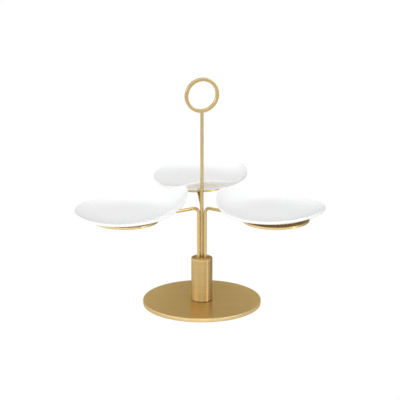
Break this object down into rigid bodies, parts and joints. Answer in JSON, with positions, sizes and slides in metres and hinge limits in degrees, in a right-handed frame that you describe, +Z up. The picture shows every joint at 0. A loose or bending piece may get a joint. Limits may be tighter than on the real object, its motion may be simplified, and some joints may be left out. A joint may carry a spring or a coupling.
{
  "type": "tiered cake stand",
  "caption": "Cake stand with a round metal foot, a central rod with a ring handle, and bent arms that carry shallow leaf-shaped porcelain dishes on flat discs.",
  "frame": {"origin": "on the stand's vertical axis, at the underside of the foot's felt sheet, which is the surface it stands on", "axes": "+Z up along the central rod, +Y towards the rear arm, whose wire is bent 3.6 degrees off it, +X to the right-hand arm's side"},
  "size_m": [0.3115, 0.2812, 0.2966],
  "materials": {
    "satin_brass": "fine satin brushed, lacquered",
    "porcelain": "clear gloss glaze on white",
    "soft_ring": "matt translucent silicone",
    "felt": "pressed wool felt",
    "screw_steel": "plain zinc plated"
  },
  "bodies": {
    "stand": {"base_pad": "felt", "base_plate": "satin_brass", "base_screw": "screw_steel", "hub": "satin_brass", "handle_rod": "satin_brass", "handle_ring": "satin_brass", "arm_left": "satin_brass", "arm_right": "satin_brass", "arm_rear": "satin_brass", "support_disc_left": "satin_brass", "support_disc_right": "satin_brass", "support_disc_rear": "satin_brass"},
    "left_pad": {"dish_pad_left": "soft_ring"},
    "left_dish": {"dish_left": "porcelain"},
    "right_pad": {"dish_pad_right": "soft_ring"},
    "right_dish": {"dish_right": "porcelain"},
    "rear_pad": {"dish_pad_rear": "soft_ring"},
    "rear_dish": {"dish_rear": "porcelain"}
  },
  "joints": [
    {"name": "left_dish_turn", "type": "hinge", "parent": "stand", "child": "left_pad", "pos_m": [-0.09631, -0.05357, 0.1317], "axis": [0, 0, 1], "continuous": true},
    {"name": "left_dish_lift", "type": "slide", "parent": "left_pad", "child": "left_dish", "axis": [0, 0, 1], "range_m": [0, 0.08]},
    {"name": "right_dish_turn", "type": "hinge", "parent": "stand", "child": "right_pad", "pos_m": [0.09104, -0.05096, 0.1317], "axis": [0, 0, 1], "continuous": true},
    {"name": "right_dish_lift", "type": "slide", "parent": "right_pad", "child": "right_dish", "axis": [0, 0, 1], "range_m": [0, 0.08]},
    {"name": "rear_dish_turn", "type": "hinge", "parent": "stand", "child": "rear_pad", "pos_m": [-0.00186, 0.10439, 0.1317], "axis": [0, 0, 1], "continuous": true},
    {"name": "rear_dish_lift", "type": "slide", "parent": "rear_pad", "child": "rear_dish", "axis": [0, 0, 1], "range_m": [0, 0.08]}
  ]
}
